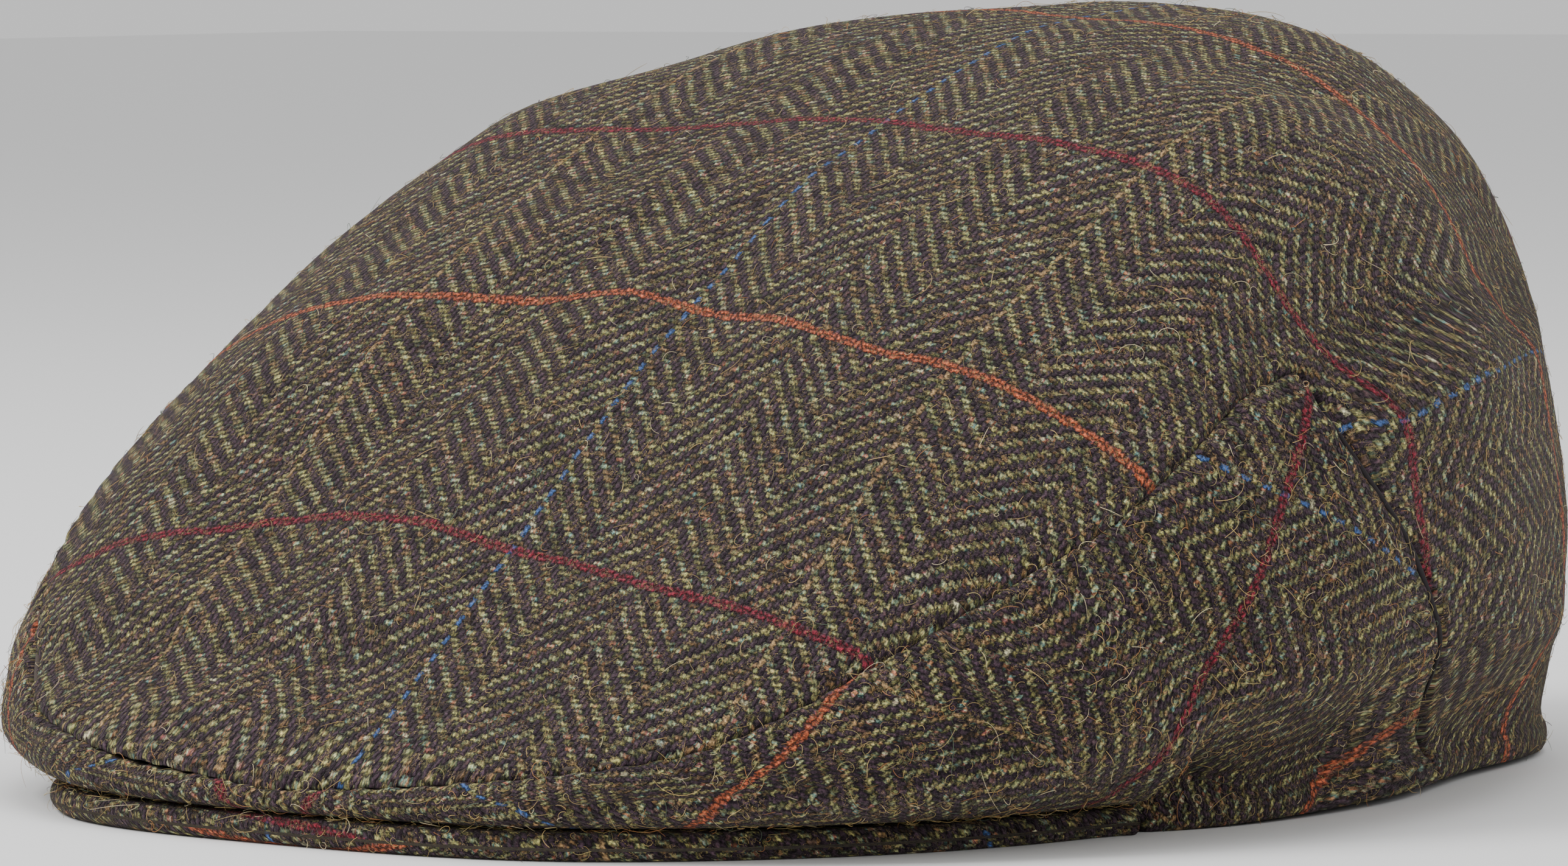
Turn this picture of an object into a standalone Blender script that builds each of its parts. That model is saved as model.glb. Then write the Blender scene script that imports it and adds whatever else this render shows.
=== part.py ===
"""Flat cap: a one-piece top that runs from the front over the crown and down the back, a wedge-shaped
side panel on each side that tapers to a narrow strip along the front, and a stiff cloth-covered peak.

The peak points to -Y, the wearer's left is +X, and the rim and the underside of the peak lie on z = 0.
"""
import math

import bmesh
import bpy
import numpy as np

# Driving sizes, in metres
CAP_LENGTH = 0.2545       # front fold to back, along Y
CAP_WIDTH = 0.2255        # across the belt, the widest line of the crown
CROWN_HEIGHT = 0.115      # highest point over the rim
CLOTH = 0.0020            # tweed with its backing
RIM_TUCK = 0.0235         # how far the rim lies inside the belt at the temples
RIM_LIFT = 0.0012         # how far the rim stands clear of the ground behind the temples
HEM_HEIGHT = 0.0045       # turned edge round the sides and back
HEM_BULGE = 0.0007        # how far the turned edge swells outward
SEAM_DIP = 0.0007         # how far the cloth is drawn in along a seam
PEAK_THICKNESS = 0.0040
PEAK_DEPTH = 0.044        # on the centre line, front edge to head opening
PEAK_TIP_WIDTH = 0.0040   # where the peak ends in the pinch at each temple
PEAK_SEAT = 0.0045        # how far the peak reaches out past the edge sewn to it
SEWN_EDGE = 0.0015        # width of the cloth edge that lies on the peak
CLEARANCE = 0.0003        # gap kept between two pieces

HALF_LENGTH = CAP_LENGTH / 2
HALF_WIDTH = CAP_WIDTH / 2
FAN_Y = -0.100 * HALF_LENGTH      # the sections fan out from this point of the centre line
SEWN_HEIGHT = PEAK_THICKNESS + CLEARANCE

# Directions, in degrees from the front about the fan point
APEX_TURN = 84.0          # upper end of the side panel
REAR_TURN = 117.0         # lower end of the seam behind it
PEAK_TURN = 68.5          # tip of the peak
PINCH_TURN = 69.0         # where the edge leaves the peak
PINCH_SPAN = 3.2          # over which it drops to the rim
APEX_UP = 0.561           # height of the apex, as a share of the crown's height

# One row for each direction. Belt: out and along are shares of the half width and half length, up is a
# share of the crown's height. Fullness and shoulder are the exponents that round the dome's section.
SECTIONS = (
    ("turn", "out", "along", "up", "fullness", "shoulder"),
    (0, 0.000, -1.000, 0.054, 2.15, 1.68),
    (25, 0.445, -0.945, 0.070, 1.90, 1.84),
    (50, 0.812, -0.704, 0.110, 2.70, 2.21),
    (75, 0.986, -0.333, 0.197, 3.15, 2.33),
    (100, 0.958, 0.050, 0.238, 5.00, 2.20),
    (125, 0.806, 0.399, 0.216, 4.30, 2.02),
    (150, 0.539, 0.727, 0.220, 4.45, 2.45),
    (180, 0.000, 1.000, 0.230, 4.50, 2.60),
)

# How far the rim lies inside the belt, as a share of RIM_TUCK, and off the ground, of RIM_LIFT
TUCKS = (
    ("turn", "tuck", "lift"),
    (0, 0.19, 0.00),
    (25, 0.26, 0.00),
    (50, 0.74, 0.00),
    (60, 0.92, 0.00),
    (68, 1.03, 0.00),
    (76, 0.88, 0.15),
    (100, 0.62, 0.90),
    (125, 0.54, 1.00),
    (150, 0.10, 0.50),
    (180, 0.36, 0.00),
)

# The crest along the centre line: along is a share of the half length, up of the crown's height
CREST = (
    ("along", "up"),
    (-1.030, 0.212),
    (-0.848, 0.357),
    (-0.652, 0.512),
    (-0.455, 0.650),
    (-0.259, 0.757),
    (-0.100, 0.837),
    (0.096, 0.932),
    (0.292, 0.996),
    (0.488, 1.019),
    (0.685, 1.042),
    (0.881, 1.095),
    (1.046, 1.187),
)

# Upper seam of the side panel, from the centre front to the apex: height as a share of the crown's
FRONT_SEAM = (
    ("turn", "up"),
    (0, 0.069),
    (8, 0.079),
    (16, 0.090),
    (24, 0.105),
    (30, 0.120),
    (35, 0.139),
    (40, 0.178),
    (45, 0.226),
    (51, 0.277),
    (57, 0.329),
    (63, 0.378),
    (71, 0.460),
    (80, 0.545),
    (APEX_TURN, APEX_UP),
)

# Seam behind the side panel, from the rim up to the apex
REAR_SEAM = (
    ("up", "turn"),
    (0.00, REAR_TURN),
    (0.040, 0.974 * REAR_TURN),
    (0.097, 0.911 * REAR_TURN),
    (0.192, 0.840 * REAR_TURN),
    (0.274, 0.812 * REAR_TURN),
    (0.357, 0.782 * REAR_TURN),
    (0.427, 0.752 * REAR_TURN),
    (0.495, 0.731 * REAR_TURN),
    (APEX_UP, APEX_TURN),
)

# Dents and folds, each along a short line between two points. out, along and up are shares as above,
# width is a share of the crown's height, depth is a share of the cloth's thickness (minus is a ridge),
# and both is 1 where the other side of the cap has the same fold.
FOLDS = (
    ("out_a", "along_a", "up_a", "out_b", "along_b", "up_b", "width", "depth", "both"),
    (-0.66, -0.80, 0.17, 0.02, -0.86, 0.21, 0.050, 0.60, 0),
    (-0.60, -0.77, 0.24, 0.05, -0.80, 0.28, 0.055, -0.35, 0),
    (0.12, 0.30, 0.98, 0.55, 0.20, 0.87, 0.120, 0.65, 0),
    (-0.50, 0.42, 0.90, -0.10, 0.36, 0.99, 0.110, 0.40, 0),
    (0.89, -0.23, 0.56, 0.80, -0.12, 0.68, 0.035, 0.40, 1),
    (0.89, -0.30, 0.54, 0.78, -0.30, 0.66, 0.035, 0.30, 1),
    (0.90, -0.46, 0.08, 0.97, -0.40, 0.24, 0.060, 0.60, 1),
    (0.98, -0.20, 0.10, 1.00, -0.16, 0.30, 0.090, -0.35, 1),
    (0.80, 0.36, 0.07, 0.84, 0.36, 0.22, 0.060, 0.40, 1),
    (0.55, 0.70, 0.06, 0.58, 0.72, 0.30, 0.080, 0.40, 1),
    (-0.15, 0.97, 0.10, -0.12, 0.98, 0.45, 0.100, 0.45, 0),
)

# Levels along a section: 0 at the crown's centre, then these, and 1 at the rim
BELT_LEVEL = 0.84
HEM_LEVEL = 0.96

# Mesh counts
FRONT_COLUMNS = 17        # of the side panel, from the centre front to the pinch
TEMPLE_COLUMNS = 11       # of the side panel, from the pinch to the rear seam
SIDE_RISES = 5            # rows of the side panel from the belt to its upper seam
UNDER_ROWS = 3            # rows from the belt down to the hem
BACK_COLUMNS = 13         # along half of the back rim
DOME_RINGS = 11           # rings of the top panel from the centre to the belt
PEAK_COLUMNS = 20         # along half of the peak
EDGE_STEPS = 3            # round each quarter of the peak's front edge

TWEED = (0.070, 0.062, 0.038, 1.0)
TWEED_ROUGHNESS = 0.95


def columns(table):
    """The table's columns by name, as arrays."""
    rows = np.array(table[1:], float)
    return dict(zip(table[0], rows.T))


SECTION = columns(SECTIONS)
TUCK = columns(TUCKS)
CREST_LINE = columns(CREST)
FRONT_LINE = columns(FRONT_SEAM)
REAR_LINE = columns(REAR_SEAM)


def spline(knots, values, at):
    """Smooth curve through the knots, whose slope at each knot follows its neighbours."""
    slopes = np.gradient(values, knots)
    i = np.clip(np.searchsorted(knots, at, side="right") - 1, 0, len(knots) - 2)
    step = knots[i + 1] - knots[i]
    t = (at - knots[i]) / step
    start = (1 + 2 * t) * (1 - t) ** 2 * values[i] + t * (1 - t) ** 2 * step * slopes[i]
    end = t * t * (3 - 2 * t) * values[i + 1] + t * t * (t - 1) * step * slopes[i + 1]
    return start + end


def around(column, name, turn, odd=False):
    """A column at the given turns, mirrored at the centre front and the centre back."""
    sign = -1 if odd else 1
    knots, values = column["turn"], column[name]
    all_knots = np.concatenate([-knots[:0:-1], knots, 360 - knots[-2::-1]])
    all_values = np.concatenate([sign * values[:0:-1], values, sign * values[-2::-1]])
    return spline(all_knots, all_values, np.abs(turn))


def smooth_step(t):
    t = np.clip(t, 0, 1)
    return t * t * (3 - 2 * t)


def plain_surface(turn, level, inset=0.0):
    """Points of the cap's outer face, or of its inner face where inset is the cloth's thickness."""
    turn, level = np.broadcast_arrays(np.asarray(turn, float), np.asarray(level, float))
    side = np.where(turn < 0, -1.0, 1.0)
    angle = np.radians(np.abs(turn))
    heading_x, heading_y = side * np.sin(angle), -np.cos(angle)
    belt_x = side * HALF_WIDTH * around(SECTION, "out", turn, odd=True)
    belt_y = HALF_LENGTH * around(SECTION, "along", turn)
    belt_z = CROWN_HEIGHT * around(SECTION, "up", turn)
    tuck = RIM_TUCK * around(TUCK, "tuck", turn)
    seated = 1 - smooth_step((np.abs(turn) - PINCH_TURN) / PINCH_SPAN)
    loose = 1 - seated
    rim_in = tuck + loose * inset
    rim_x, rim_y = belt_x - rim_in * heading_x, belt_y - rim_in * heading_y
    belt_x, belt_y = belt_x - inset * heading_x, belt_y - inset * heading_y

    # The dome, from the centre to the belt
    reach = np.sin(np.clip(level / BELT_LEVEL, 0, 1) * math.pi / 2)
    x, y = reach * belt_x, FAN_Y + reach * (belt_y - FAN_Y)
    crest = CROWN_HEIGHT * spline(CREST_LINE["along"], CREST_LINE["up"], y / HALF_LENGTH) - inset
    hollow = 1 - reach ** around(SECTION, "fullness", turn)
    rise = np.maximum(hollow, 0) ** (1 / around(SECTION, "shoulder", turn))
    z = belt_z + (crest - belt_z) * rise

    # Under the belt, drawn in to the hem, or folded in under itself where it lies on the peak
    under = np.clip((level - BELT_LEVEL) / (HEM_LEVEL - BELT_LEVEL), 0, 1)
    swing = seated * (1 - np.cos(under * math.pi / 2)) + loose * smooth_step(under)
    drop = seated * np.sin(under * math.pi / 2) + loose * under
    lift = RIM_LIFT * around(TUCK, "lift", turn)
    hem_z = seated * (SEWN_HEIGHT + inset) + loose * (HEM_HEIGHT + lift)
    x, y = x + (rim_x - belt_x) * swing, y + (rim_y - belt_y) * swing
    z = z + (hem_z - belt_z) * drop

    # The hem, or the edge that is sewn down on the peak
    turned = np.clip((level - HEM_LEVEL) / (1 - HEM_LEVEL), 0, 1)
    bulge = HEM_BULGE * loose * np.sin(turned * math.pi) if inset == 0 else 0
    shift = bulge - seated * SEWN_EDGE * turned
    x, y = x + shift * heading_x, y + shift * heading_y
    z = z - loose * HEM_HEIGHT * turned
    return np.stack([x, y, z], -1)


def relief(points):
    """How far the dents and folds draw each point in."""
    total = np.zeros(points.shape[:-1])
    size = np.array([HALF_WIDTH, HALF_LENGTH, CROWN_HEIGHT])
    mirror = np.array([-1, 1, 1])
    for row in FOLDS[1:]:
        fold = dict(zip(FOLDS[0], row))
        a = np.array([fold["out_a"], fold["along_a"], fold["up_a"]]) * size
        b = np.array([fold["out_b"], fold["along_b"], fold["up_b"]]) * size
        ends = [(a, b), (a * mirror, b * mirror)] if fold["both"] else [(a, b)]
        for start, end in ends:
            run = end - start
            t = np.clip((points - start) @ run / (run @ run), 0, 1)
            away = np.linalg.norm(points - start - t[..., None] * run, axis=-1)
            width = fold["width"] * CROWN_HEIGHT
            total = total + fold["depth"] * CLOTH * np.exp(-(away / width) ** 2)
    # The rim and the edge on the peak stay where they are
    free = smooth_step((points[..., 2] - SEWN_HEIGHT) / HEM_HEIGHT)
    return total * free


def outward(points):
    """Unit directions away from the cap's core, close to the surface's own normals."""
    core = points * np.array([0.25, 0.55, 0.0]) + np.array([0, 0, 0.2 * CROWN_HEIGHT])
    away = points - core
    return away / np.linalg.norm(away, axis=-1, keepdims=True)


def surfaces(turn, level):
    """Outer and inner points of the cloth, with its dents and folds."""
    outer = plain_surface(turn, level)
    inner = plain_surface(turn, level, CLOTH)
    moved = relief(outer)[..., None] * outward(outer)
    return outer - moved, inner - moved


def level_at_height(turn, height):
    """The level where the plain section at this turn passes a height."""
    low, high = np.full(np.shape(turn), 0.40), np.ones(np.shape(turn))
    for _ in range(40):
        middle = (low + high) / 2
        above = plain_surface(turn, middle)[..., 2] > height
        low, high = np.where(above, middle, low), np.where(above, high, middle)
    return (low + high) / 2


def front_seam_level(turn):
    return level_at_height(turn, CROWN_HEIGHT * spline(FRONT_LINE["turn"], FRONT_LINE["up"], turn))


def rear_seam_turn(level):
    """The turn of the rear seam at a level, found by stepping between the surface and the table."""
    turn = np.full(np.shape(level), (APEX_TURN + REAR_TURN) / 2)
    for _ in range(30):
        up = plain_surface(turn, level)[..., 2] / CROWN_HEIGHT
        turn = (turn + spline(REAR_LINE["up"], REAR_LINE["turn"], np.clip(up, 0, APEX_UP))) / 2
    return turn


def side_grid():
    """Turns and levels of the left side panel: rows from the rim up, columns from the front back."""
    pinch, past = PINCH_TURN / REAR_TURN, (PINCH_TURN + PINCH_SPAN) / REAR_TURN
    along = np.concatenate([np.linspace(0, pinch, FRONT_COLUMNS), np.linspace(past, 1, TEMPLE_COLUMNS)])
    hem = [1.0, (1 + HEM_LEVEL) / 2]
    under = list(np.linspace(HEM_LEVEL, BELT_LEVEL, UNDER_ROWS + 1))
    top = front_seam_level(along * APEX_TURN)
    levels = [np.full(len(along), value) for value in hem + under]
    for k in range(1, SIDE_RISES + 1):
        levels.append(BELT_LEVEL + (top - BELT_LEVEL) * k / SIDE_RISES)
    levels = np.array(levels)
    ends = rear_seam_turn(levels[:, -1])
    ends[0], ends[-1] = REAR_TURN, APEX_TURN
    return ends[:, None] * along[None, :], levels


def seam_shift(path, across, amount):
    """Steps sideways from a seam, in the cloth and square to its edge; across is the edge's direction."""
    steps = np.diff(path, axis=0)
    steps /= np.linalg.norm(steps, axis=1, keepdims=True)
    before = np.vstack([steps[:1], steps])
    after = np.vstack([steps, steps[-1:]])
    tangent = before + after
    tangent /= np.linalg.norm(tangent, axis=1, keepdims=True)
    miter = np.clip((tangent * after).sum(1), 0.5, 1)
    sideways = np.cross(tangent, across)
    sideways /= np.linalg.norm(sideways, axis=1, keepdims=True)
    return sideways * (amount / miter)[:, None]


def open_seam(outer, inner, ring, sign):
    """Opens half a seam's gap along a ring of points, and draws the seam in a little."""
    across = inner[ring] - outer[ring]
    across /= np.linalg.norm(across, axis=1, keepdims=True)
    shift = seam_shift(outer[ring], across, sign * CLEARANCE / 2)
    lift = smooth_step((outer[ring][:, 2] - SEWN_HEIGHT) / HEM_HEIGHT)
    dip = (SEAM_DIP * lift)[:, None] * across
    outer[ring] += shift + dip
    inner[ring] += shift + dip


def cloth_object(name, outer, inner, faces, border):
    """A closed solid from two faces of cloth. border is the loop of points round the outer face."""
    mesh = bpy.data.meshes.new(name)
    count = len(outer)
    walls = []
    for a, b in zip(border, np.roll(border, -1)):
        walls.append((a, a + count, b + count, b))
    inside = [tuple(index + count for index in reversed(face)) for face in faces]
    points = np.vstack([outer, inner])
    mesh.from_pydata(points.tolist(), [], faces + inside + walls)
    return finish(name, mesh)


def finish(name, mesh):
    """Triangulates a mesh, turns its faces outward and gives it an object and a material."""
    form = bmesh.new()
    form.from_mesh(mesh)
    bmesh.ops.triangulate(form, faces=form.faces, quad_method="SHORT_EDGE")
    bmesh.ops.recalc_face_normals(form, faces=form.faces)
    form.to_mesh(mesh)
    form.free()
    mesh.shade_smooth()
    mesh.set_sharp_from_angle(angle=math.radians(50))
    piece = bpy.data.objects.new(name, mesh)
    piece.data.materials.append(tweed(name))
    bpy.context.collection.objects.link(piece)
    return piece


def tweed(name):
    material = bpy.data.materials.new(name + "_tweed")
    material.use_nodes = True
    shader = material.node_tree.nodes["Principled BSDF"]
    shader.inputs["Base Color"].default_value = TWEED
    shader.inputs["Roughness"].default_value = TWEED_ROUGHNESS
    shader.inputs["Metallic"].default_value = 0.0
    return material


def side_panel(name, side):
    """A wedge of cloth from the centre front to the rear seam; side is +1 on the wearer's left."""
    turn, level = side_grid()
    outer, inner = surfaces(side * turn, level)
    rows, cols = turn.shape
    outer, inner = outer.reshape(-1, 3), inner.reshape(-1, 3)
    at = np.arange(rows * cols).reshape(rows, cols)
    faces = []
    for i in range(rows - 1):
        for j in range(cols - 1):
            faces.append((at[i, j], at[i, j + 1], at[i + 1, j + 1], at[i + 1, j]))
    seam = np.concatenate([at[:, 0], at[-1, 1:], at[-2::-1, -1]])
    open_seam(outer, inner, seam, -side)
    border = np.concatenate([at[0, :], at[1:, -1], at[-1, -2::-1], at[-2:0:-1, 0]])
    return cloth_object(name, outer, inner, faces, border[::-1])


def crown_border():
    """Turn, level and starting turn of each column of the left half of the top panel's border."""
    turn, level = side_grid()
    front = np.stack([turn[-1], level[-1], turn[-1]], -1)
    rear_turn, rear_level = turn[-2::-1, -1], level[-2::-1, -1]
    even = np.linspace(APEX_TURN, REAR_TURN, len(rear_turn) + 1)[1:]
    rear = np.stack([rear_turn, rear_level, even], -1)
    back_turn = np.linspace(REAR_TURN, 180, BACK_COLUMNS + 1)[1:]
    back = np.stack([back_turn, np.ones(BACK_COLUMNS), back_turn], -1)
    return np.vstack([front, rear, back]), len(front) + len(rear)


def crown_top(name):
    """The one-piece top: rings from the centre of the crown out to its seams and the back rim."""
    left, seam_count = crown_border()
    right = left[-2:0:-1] * np.array([-1, 1, -1])
    border = np.vstack([left, right])
    under = np.linspace(BELT_LEVEL, HEM_LEVEL, UNDER_ROWS + 1)[1:]
    dome = np.linspace(0, BELT_LEVEL, DOME_RINGS + 1)[1:]
    rings = np.concatenate([dome, under, [(1 + HEM_LEVEL) / 2, 1]])
    cols = len(border)
    turn = border[:, 2] + (border[:, 0] - border[:, 2]) * (rings ** 2)[:, None]
    level = border[:, 1] * rings[:, None]
    outer, inner = surfaces(turn, level)
    top_outer, top_inner = surfaces(0.0, 0.0)
    outer = np.vstack([top_outer[None], outer.reshape(-1, 3)])
    inner = np.vstack([top_inner[None], inner.reshape(-1, 3)])
    at = 1 + np.arange(len(rings) * cols).reshape(len(rings), cols)
    faces = []
    for j in range(cols):
        k = (j + 1) % cols
        faces.append((0, at[0, j], at[0, k]))
        for i in range(len(rings) - 1):
            faces.append((at[i, j], at[i + 1, j], at[i + 1, k], at[i, k]))
    last = at[-1]
    seam = np.concatenate([last[-(seam_count - 1):], last[:seam_count]])
    open_seam(outer, inner, seam, 1)
    return cloth_object(name, outer, inner, faces, last[::-1])


def peak_columns():
    """Plan of the peak: its outer edge and the edge at the head opening, tip to tip."""
    turn = np.linspace(-PEAK_TURN, PEAK_TURN, 2 * PEAK_COLUMNS + 1)
    sewn = plain_surface(turn, HEM_LEVEL)[:, :2]
    angle = np.radians(turn)
    heading = np.stack([np.sin(angle), -np.cos(angle)], -1)
    outline = sewn + PEAK_SEAT * heading
    tip = outline[-1] - PEAK_TIP_WIDTH * heading[-1]
    middle_y = outline[PEAK_COLUMNS, 1] + PEAK_DEPTH
    share = np.linspace(-1, 1, len(turn))
    opening = np.stack([tip[0] * share, middle_y + (tip[1] - middle_y) * share ** 2], -1)
    return outline, opening


def peak(name):
    """A flat stiff crescent with a rounded edge all round."""
    outline, opening = peak_columns()
    inward = opening - outline
    inward /= np.linalg.norm(inward, axis=1, keepdims=True)
    radius = PEAK_THICKNESS / 2
    angles = np.linspace(-math.pi / 2, math.pi / 2, 2 * EDGE_STEPS + 1)
    profile = [(radius * (1 - math.cos(a)), radius * (1 + math.sin(a))) for a in angles]
    loops = [np.column_stack([outline + step * inward, np.full(len(outline), z)]) for step, z in profile]
    back = [np.column_stack([opening - step * inward, np.full(len(outline), z)])
            for step, z in ((0.3 * radius, PEAK_THICKNESS), (0, 0.8 * PEAK_THICKNESS),
                            (0, 0.2 * PEAK_THICKNESS), (0.3 * radius, 0))]
    points = np.array(loops + back)
    count, cols = points.shape[:2]
    at = np.arange(count * cols).reshape(count, cols)
    faces = []
    for i in range(count):
        k = (i + 1) % count
        for j in range(cols - 1):
            faces.append((at[i, j], at[i, j + 1], at[k, j + 1], at[k, j]))
    faces.append(tuple(at[:, 0]))
    faces.append(tuple(at[::-1, -1]))
    mesh = bpy.data.meshes.new(name)
    mesh.from_pydata(points.reshape(-1, 3).tolist(), [], faces)
    return finish(name, mesh)


def main():
    for old in list(bpy.data.objects):
        bpy.data.objects.remove(old, do_unlink=True)
    crown_top("crown_top")
    side_panel("side_panel_left", 1)
    side_panel("side_panel_right", -1)
    peak("peak")


main()
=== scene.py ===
"""Looks of the flat cap, built round its frame: thick tweed panels with seams, folds and a turned
hem, a herringbone cloth with a window check, and the loose curly fibres that stand off it.
"""
import math

import bmesh
import bpy
import numpy as np
from mathutils import Matrix, Vector


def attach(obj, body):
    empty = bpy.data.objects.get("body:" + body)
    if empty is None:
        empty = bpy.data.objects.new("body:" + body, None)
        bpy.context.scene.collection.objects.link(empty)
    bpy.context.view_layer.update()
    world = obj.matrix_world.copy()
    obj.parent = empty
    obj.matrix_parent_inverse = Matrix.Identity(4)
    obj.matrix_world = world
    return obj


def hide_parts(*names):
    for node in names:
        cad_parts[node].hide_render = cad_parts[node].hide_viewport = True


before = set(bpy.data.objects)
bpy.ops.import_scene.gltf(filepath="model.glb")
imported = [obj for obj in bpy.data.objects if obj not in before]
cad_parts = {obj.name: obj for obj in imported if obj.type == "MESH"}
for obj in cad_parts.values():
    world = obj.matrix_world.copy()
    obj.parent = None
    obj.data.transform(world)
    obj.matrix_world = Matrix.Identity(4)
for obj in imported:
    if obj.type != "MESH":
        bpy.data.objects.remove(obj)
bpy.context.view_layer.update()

# Driving sizes of the cap, in metres
CAP_LENGTH = 0.2545
CAP_WIDTH = 0.2255
CROWN_HEIGHT = 0.115
CLOTH = 0.0020
RIM_TUCK = 0.0235
RIM_LIFT = 0.0012
HEM_HEIGHT = 0.0045
HEM_BULGE = 0.0007
PEAK_THICKNESS = 0.0040
PEAK_DEPTH = 0.044
PEAK_TIP_WIDTH = 0.0040
PEAK_SEAT = 0.0045
SEWN_EDGE = 0.0015
CLEARANCE = 0.0003

HALF_LENGTH = CAP_LENGTH / 2
HALF_WIDTH = CAP_WIDTH / 2
FAN_Y = -0.100 * HALF_LENGTH
SEWN_HEIGHT = PEAK_THICKNESS + CLEARANCE
MM = 0.001

# Directions, in degrees from the front about the fan point
APEX_TURN = 84.0
REAR_TURN = 117.0
PEAK_TURN = 70.0
PINCH_TURN = 69.0
PINCH_SPAN = 3.2
APEX_UP = 0.561
BELT_LEVEL = 0.84
HEM_LEVEL = 0.96

SECTIONS = (
    ("turn", "out", "along", "up", "fullness", "shoulder"),
    (0, 0.000, -1.000, 0.054, 2.15, 1.68),
    (25, 0.445, -0.945, 0.070, 1.90, 1.84),
    (50, 0.812, -0.704, 0.110, 2.70, 2.21),
    (75, 0.986, -0.333, 0.197, 3.15, 2.33),
    (100, 0.958, 0.050, 0.238, 5.00, 2.20),
    (125, 0.806, 0.399, 0.216, 4.30, 2.02),
    (150, 0.539, 0.727, 0.220, 4.45, 2.45),
    (180, 0.000, 1.000, 0.230, 4.50, 2.60),
)
TUCKS = (
    ("turn", "tuck", "lift"),
    (0, 0.19, 0.00), (25, 0.26, 0.00), (50, 0.74, 0.00), (60, 0.92, 0.00), (68, 1.03, 0.00),
    (76, 0.88, 0.15), (100, 0.62, 0.90), (125, 0.54, 1.00), (150, 0.10, 0.50), (180, 0.36, 0.00),
)
CREST = (
    ("along", "up"),
    (-1.030, 0.212), (-0.848, 0.357), (-0.652, 0.512), (-0.455, 0.650),
    (-0.259, 0.757), (-0.100, 0.837), (0.096, 0.932), (0.292, 0.996),
    (0.488, 1.019), (0.685, 1.042), (0.881, 1.095), (1.046, 1.187),
)
FRONT_SEAM = (
    ("turn", "up"),
    (0, 0.069), (8, 0.079), (16, 0.090), (24, 0.105), (30, 0.120),
    (35, 0.139), (40, 0.178), (45, 0.226), (51, 0.277), (57, 0.329),
    (63, 0.378), (71, 0.460), (80, 0.545), (APEX_TURN, APEX_UP),
)
REAR_SEAM = (
    ("up", "turn"),
    (0.00, REAR_TURN), (0.040, 0.974 * REAR_TURN), (0.097, 0.911 * REAR_TURN),
    (0.192, 0.840 * REAR_TURN), (0.274, 0.812 * REAR_TURN), (0.357, 0.782 * REAR_TURN),
    (0.427, 0.752 * REAR_TURN), (0.495, 0.731 * REAR_TURN), (APEX_UP, APEX_TURN),
)

# Dents and folds: ends as shares of half width, half length and height, width as a share of the
# height, depth as a share of the cloth (minus is a ridge); both is 1 where the other side has the
# same fold. The last two are the small fold at the temple
FOLDS = (
    ("out_a", "along_a", "up_a", "out_b", "along_b", "up_b", "width", "depth", "both"),
    (-0.66, -0.80, 0.17, 0.02, -0.86, 0.21, 0.050, 0.60, 0),
    (-0.60, -0.77, 0.24, 0.05, -0.80, 0.28, 0.055, -0.35, 0),
    (0.12, 0.30, 0.98, 0.55, 0.20, 0.87, 0.120, 0.65, 0),
    (-0.50, 0.42, 0.90, -0.10, 0.36, 0.99, 0.110, 0.40, 0),
    (0.89, -0.23, 0.56, 0.80, -0.12, 0.68, 0.035, 0.40, 1),
    (0.89, -0.30, 0.54, 0.78, -0.30, 0.66, 0.035, 0.30, 1),
    (0.90, -0.46, 0.08, 0.97, -0.40, 0.24, 0.060, 0.60, 1),
    (0.98, -0.20, 0.10, 1.00, -0.16, 0.30, 0.090, -0.35, 1),
    (0.80, 0.36, 0.07, 0.84, 0.36, 0.22, 0.060, 0.40, 1),
    (0.55, 0.70, 0.06, 0.58, 0.72, 0.30, 0.080, 0.40, 1),
    (-0.15, 0.97, 0.10, -0.12, 0.98, 0.45, 0.100, 0.45, 0),
    (0.86, -0.38, 0.070, 0.81, -0.25, 0.060, 0.024, 1.20, 1),
    (0.90, -0.40, 0.120, 0.86, -0.27, 0.130, 0.032, -0.50, 1),
)

# Mesh counts of the looks
FRONT_COLUMNS = 250  # of the side panel, centre front to pinch
PINCH_COLUMNS = 14  # across the pinch
TEMPLE_COLUMNS = 110  # of the side panel, pinch to rear seam
SIDE_RISES = 34
UNDER_ROWS = 12
HEM_ROWS = 6
BACK_COLUMNS = 90
DOME_RINGS = 96
PEAK_COLUMNS = 220  # to each side of the middle
PEAK_ROUND = 15  # round the peak's edge
PEAK_ACROSS = 12
PEAK_BACK = 9  # round the edge at the opening

# Seams and small folds, in metres
SEAM_DIP = 0.0005  # how deep the cloth turns down into a seam
REAR_SEAM_DIP = 0.0013  # and into the seam behind the side panel
REAR_SEAM_FADE = 0.010  # length in which the one passes into the other
SEAM_ROLL = 0.0010  # how wide the turned edge is
PUCKER = 0.00022  # height of the small waves beside a seam
PUCKER_LENGTH = 0.0055
PUCKER_REACH = 0.0045
PUCKER_STRAY = 1.5  # how far the waves stray from even, in radians,
PUCKER_DRIFT = 0.013  # and in what length
SWELL = 0.00016  # how far the cloth stands up beside a seam
SWELL_AWAY = 0.0030
SWELL_WIDTH = 0.0018
SOFT_WAVES = ((0.00022, 0.030), (0.00010, 0.011))  # height and length of the cloth's soft folds
SEWN_SHARE = 0.25  # share of the seam's relief left where the cloth is sewn to the peak
INNER_SHARE = 0.6  # and on the inner face

# Painted seam shade: dark tubes sunk in the seams stand in for the shadow at their bottom, in metres
SHADE_LINE_LOW = 0.015  # behind the side panel it runs from this height
SHADE_LINE_HIGH = 0.060  # to this
REAR_SHADE_SUNK = 0.00035
SIDE_SHADE_SUNK = 0.00140
SHADE_LINE_RADIUS = 0.00050
SHADE_LINE_SIDES = 8
SHADE_LINE_STEPS = 240
SHADE_LINE_TAPER = 0.35
# colours of the painted seam shade: near black behind the side panel, dark brown along its top
SEAM_SHADE_DARK = (0.012, 0.008, 0.010)
SEAM_SHADE_BROWN = (0.050, 0.036, 0.028)

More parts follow.
